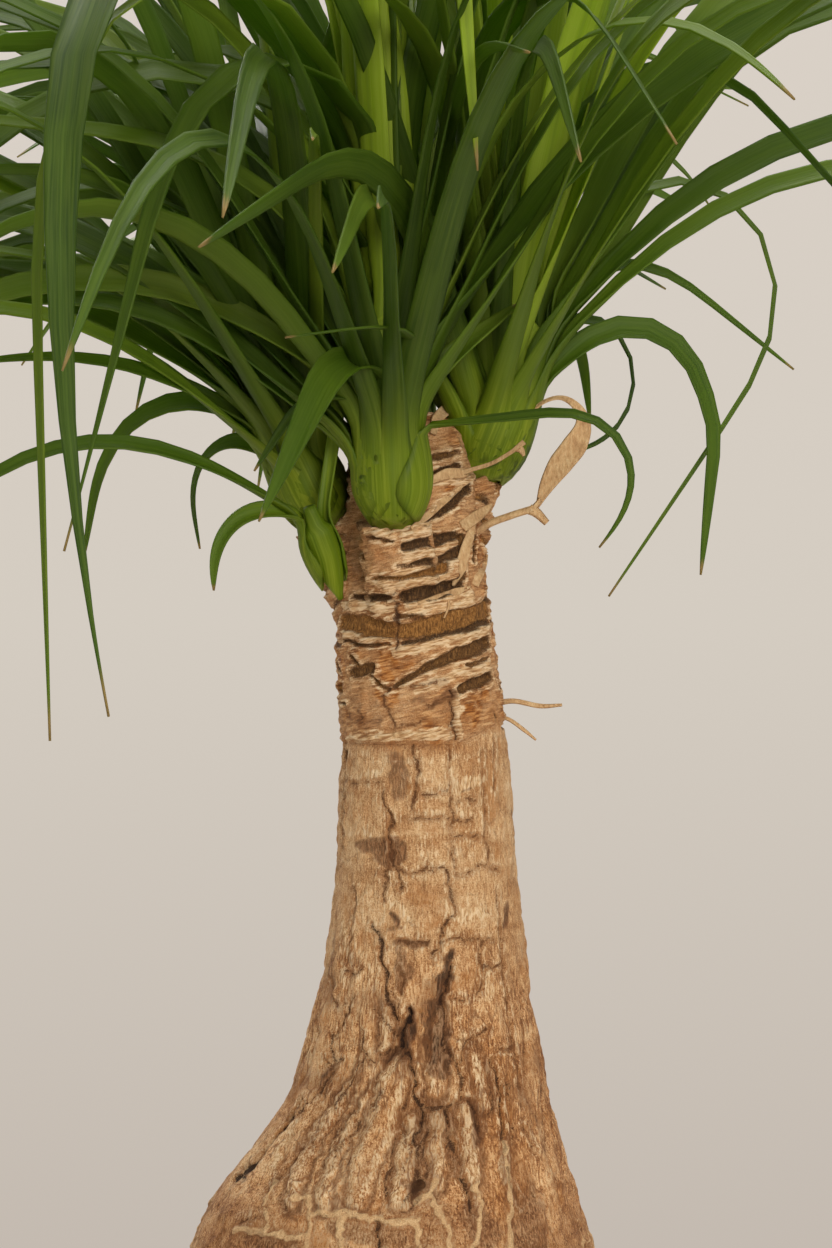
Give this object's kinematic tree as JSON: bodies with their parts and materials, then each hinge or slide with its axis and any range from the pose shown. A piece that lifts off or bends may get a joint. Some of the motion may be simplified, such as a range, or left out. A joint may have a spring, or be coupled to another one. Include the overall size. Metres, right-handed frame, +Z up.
{
  "type": "potted ponytail palm",
  "caption": "Potted ponytail palm: a swollen caudex narrowing into a ringed trunk, topped by heads of long arching strap leaves, in a plain clay pot.",
  "frame": {"origin": "centre of the pot's flat underside, on the pot's axis", "axes": "+Z up along the pot's axis; -Y towards the front head of leaves; +X towards the right head"},
  "size_m": [0.5987, 0.5406, 0.8026],
  "materials": {
    "terracotta": "matte",
    "potting_mix": "rough",
    "bark": "rough",
    "straw": "matte",
    "leaf": "satin"
  },
  "bodies": {
    "root": {"pot": "terracotta", "soil": "potting_mix", "trunk": "bark", "dry_leaf": "straw", "front_head": "leaf", "right_head": "leaf", "left_head": "leaf", "back_head": "leaf", "side_shoot": "leaf"}
  },
  "joints": []
}
